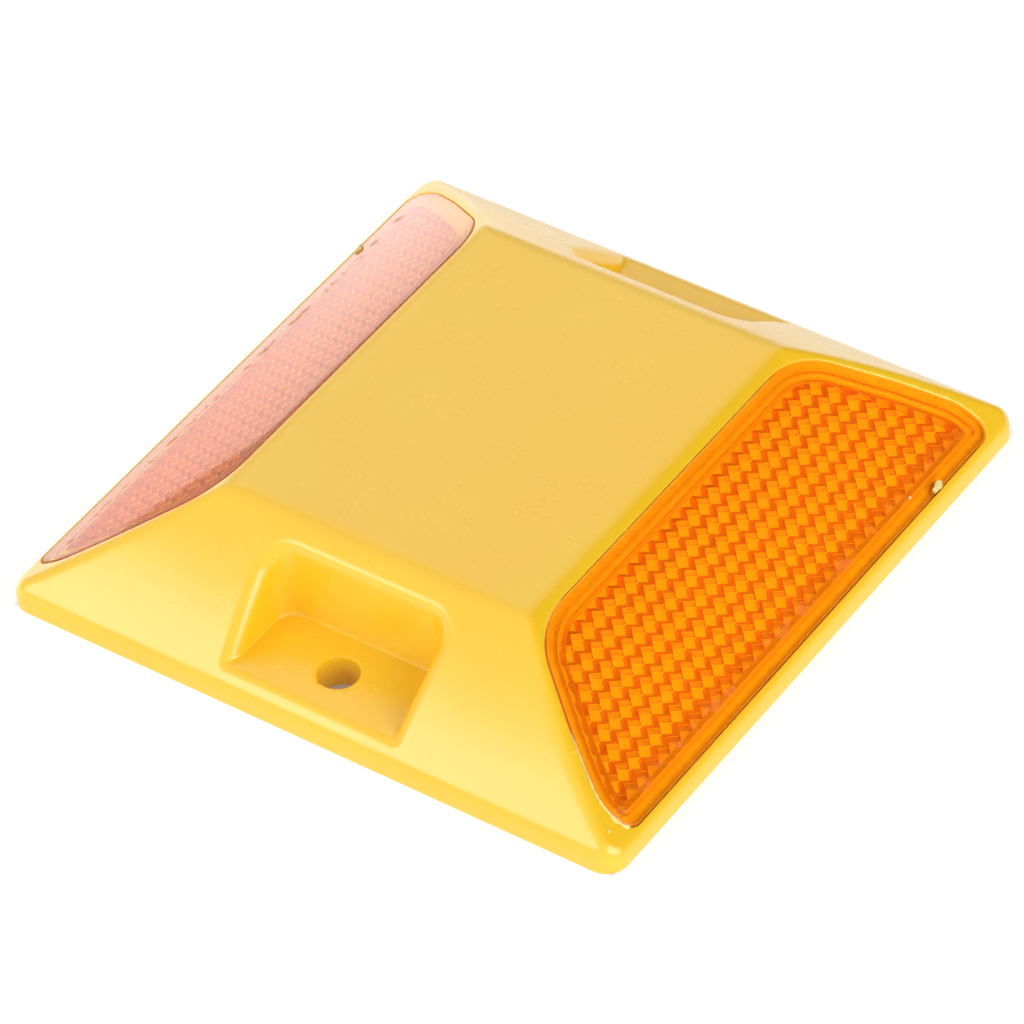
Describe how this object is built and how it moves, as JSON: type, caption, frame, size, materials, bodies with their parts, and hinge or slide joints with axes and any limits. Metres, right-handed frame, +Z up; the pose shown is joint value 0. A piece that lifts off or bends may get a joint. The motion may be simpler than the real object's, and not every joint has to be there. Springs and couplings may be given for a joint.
{
  "type": "raised pavement marker",
  "caption": "Low square plastic road marker with prismatic amber lenses bonded into opposite slopes and a recessed fixing hole in each of the slopes between them.",
  "frame": {"origin": "centre of the base, on the plane that rests on the road", "axes": "+Z up from the road, +X and -X towards the lenses, +Y and -Y towards the fixing pockets"},
  "size_m": [0.1, 0.1, 0.019],
  "materials": {
    "housing_abs": "moulded yellow ABS, semi-gloss",
    "lens_pmma": "polished clear amber acrylic with moulded prisms on the back",
    "bond_adhesive": "cured solvent adhesive, satin",
    "core_resin": "sand-filled resin, rough"
  },
  "bodies": {
    "root": {"housing_shell": "housing_abs", "amber_lens_right": "lens_pmma", "amber_lens_left": "lens_pmma", "lens_bond_right": "bond_adhesive", "lens_bond_left": "bond_adhesive", "potting_core": "core_resin"}
  },
  "joints": []
}
